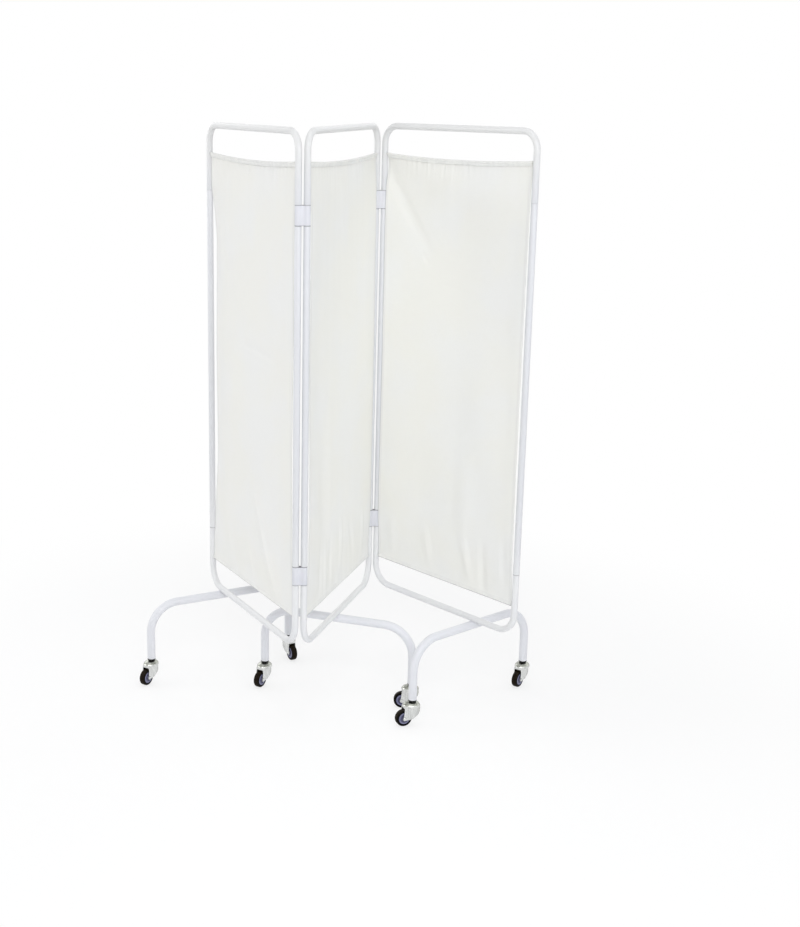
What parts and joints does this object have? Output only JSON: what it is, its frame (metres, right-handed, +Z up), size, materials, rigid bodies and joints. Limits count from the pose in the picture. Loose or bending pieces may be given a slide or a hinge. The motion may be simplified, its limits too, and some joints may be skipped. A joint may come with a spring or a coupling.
{
  "type": "folding bed screen",
  "caption": "Free-standing folding privacy screen: curtained tube panels with wide arched legs on swivel casters, joined by two-barrel hinge blocks.",
  "frame": {"origin": "middle of the footprint on the floor", "axes": "+Z up; the middle panel runs along +Y; the near feet of the outer panels point towards -Y"},
  "size_m": [1.1504, 0.646, 1.7245],
  "materials": {
    "tube_enamel": "gloss white enamel",
    "hinge_nylon": "smooth white nylon",
    "curtain_cotton": "plain-woven off-white cloth",
    "wire_coating": "plastic-coated spring wire",
    "socket_plastic": "black moulded plastic",
    "fork_zinc": "bright zinc-plated pressed steel",
    "tyre_rubber": "smooth black rubber",
    "hub_plastic": "blue-grey moulded plastic"
  },
  "bodies": {
    "middle_panel": {"middle_top_bow": "tube_enamel", "middle_bottom_bow": "tube_enamel", "middle_front_upright": "tube_enamel", "middle_rear_upright": "tube_enamel", "middle_leg": "tube_enamel", "middle_top_wire": "wire_coating", "middle_bottom_wire": "wire_coating", "middle_curtain": "curtain_cotton", "middle_near_socket": "socket_plastic", "middle_far_socket": "socket_plastic"},
    "left_panel": {"left_top_bow": "tube_enamel", "left_bottom_bow": "tube_enamel", "left_outer_upright": "tube_enamel", "left_inner_upright": "tube_enamel", "left_leg": "tube_enamel", "left_top_wire": "wire_coating", "left_bottom_wire": "wire_coating", "left_curtain": "curtain_cotton", "left_near_socket": "socket_plastic", "left_far_socket": "socket_plastic"},
    "right_panel": {"right_top_bow": "tube_enamel", "right_bottom_bow": "tube_enamel", "right_inner_upright": "tube_enamel", "right_outer_upright": "tube_enamel", "right_leg": "tube_enamel", "right_top_wire": "wire_coating", "right_bottom_wire": "wire_coating", "right_curtain": "curtain_cotton", "right_near_socket": "socket_plastic", "right_far_socket": "socket_plastic"},
    "front_hinges": {"front_upper_hinge": "hinge_nylon", "front_lower_hinge": "hinge_nylon"},
    "rear_hinges": {"rear_upper_hinge": "hinge_nylon", "rear_lower_hinge": "hinge_nylon"},
    "left_near_swivel": {"left_near_fork": "fork_zinc", "left_near_axle": "fork_zinc"},
    "left_near_wheel": {"left_near_tyre": "tyre_rubber", "left_near_hub": "hub_plastic"},
    "left_far_swivel": {"left_far_fork": "fork_zinc", "left_far_axle": "fork_zinc"},
    "left_far_wheel": {"left_far_tyre": "tyre_rubber", "left_far_hub": "hub_plastic"},
    "middle_near_swivel": {"middle_near_fork": "fork_zinc", "middle_near_axle": "fork_zinc"},
    "middle_near_wheel": {"middle_near_tyre": "tyre_rubber", "middle_near_hub": "hub_plastic"},
    "middle_far_swivel": {"middle_far_fork": "fork_zinc", "middle_far_axle": "fork_zinc"},
    "middle_far_wheel": {"middle_far_tyre": "tyre_rubber", "middle_far_hub": "hub_plastic"},
    "right_near_swivel": {"right_near_fork": "fork_zinc", "right_near_axle": "fork_zinc"},
    "right_near_wheel": {"right_near_tyre": "tyre_rubber", "right_near_hub": "hub_plastic"},
    "right_far_swivel": {"right_far_fork": "fork_zinc", "right_far_axle": "fork_zinc"},
    "right_far_wheel": {"right_far_tyre": "tyre_rubber", "right_far_hub": "hub_plastic"}
  },
  "joints": [
    {"name": "front_middle_pivot", "type": "hinge", "parent": "middle_panel", "child": "front_hinges", "pos_m": [0.02531, -0.30395, 0.463], "axis": [0, 0, 1], "range_deg": [-23.5, 96.5]},
    {"name": "front_left_pivot", "type": "hinge", "parent": "front_hinges", "child": "left_panel", "pos_m": [0.0033, -0.31352, 0.463], "axis": [0, 0, 1], "range_deg": [-23.5, 96.5]},
    {"name": "rear_middle_pivot", "type": "hinge", "parent": "middle_panel", "child": "rear_hinges", "pos_m": [0.02531, 0.29605, 0.463], "axis": [0, 0, 1], "range_deg": [-30, 90]},
    {"name": "rear_right_pivot", "type": "hinge", "parent": "rear_hinges", "child": "right_panel", "pos_m": [0.04609, 0.30805, 0.463], "axis": [0, 0, 1], "range_deg": [-30, 90]},
    {"name": "left_near_caster_swivel", "type": "hinge", "parent": "left_panel", "child": "left_near_swivel", "pos_m": [-0.55312, -0.12281, 0.073], "axis": [0, 0, 1], "continuous": true},
    {"name": "left_near_wheel_spin", "type": "hinge", "parent": "left_near_swivel", "child": "left_near_wheel", "pos_m": [-0.5587, -0.15025, 0.02519], "axis": [0.9799, -0.1994, 0], "continuous": true},
    {"name": "left_far_caster_swivel", "type": "hinge", "parent": "left_panel", "child": "left_far_swivel", "pos_m": [-0.22576, 0.22824, 0.073], "axis": [0, 0, 1], "continuous": true},
    {"name": "left_far_wheel_spin", "type": "hinge", "parent": "left_far_swivel", "child": "left_far_wheel", "pos_m": [-0.20528, 0.20914, 0.02519], "axis": [0.682, 0.7314, 0], "continuous": true},
    {"name": "middle_near_caster_swivel", "type": "hinge", "parent": "middle_panel", "child": "middle_near_swivel", "pos_m": [0.26531, -0.00395, 0.073], "axis": [0, 0, 1], "continuous": true},
    {"name": "middle_near_wheel_spin", "type": "hinge", "parent": "middle_near_swivel", "child": "middle_near_wheel", "pos_m": [0.23853, -0.01214, 0.02519], "axis": [0.2924, -0.9563, 0], "continuous": true},
    {"name": "middle_far_caster_swivel", "type": "hinge", "parent": "middle_panel", "child": "middle_far_swivel", "pos_m": [-0.21469, -0.00395, 0.073], "axis": [0, 0, 1], "continuous": true},
    {"name": "middle_far_wheel_spin", "type": "hinge", "parent": "middle_far_swivel", "child": "middle_far_wheel", "pos_m": [-0.22028, -0.03139, 0.02519], "axis": [0.9799, -0.1994, 0], "continuous": true},
    {"name": "right_near_caster_swivel", "type": "hinge", "parent": "right_panel", "child": "right_near_swivel", "pos_m": [0.30108, -0.1163, 0.073], "axis": [0, 0, 1], "continuous": true},
    {"name": "right_near_wheel_spin", "type": "hinge", "parent": "right_near_swivel", "child": "right_near_wheel", "pos_m": [0.27963, -0.13429, 0.02519], "axis": [0.6428, -0.766, 0], "continuous": true},
    {"name": "right_far_caster_swivel", "type": "hinge", "parent": "right_panel", "child": "right_far_swivel", "pos_m": [0.54108, 0.2994, 0.073], "axis": [0, 0, 1], "continuous": true},
    {"name": "right_far_wheel_spin", "type": "hinge", "parent": "right_far_swivel", "child": "right_far_wheel", "pos_m": [0.53289, 0.27262, 0.02519], "axis": [0.9563, -0.2924, 0], "continuous": true}
  ]
}
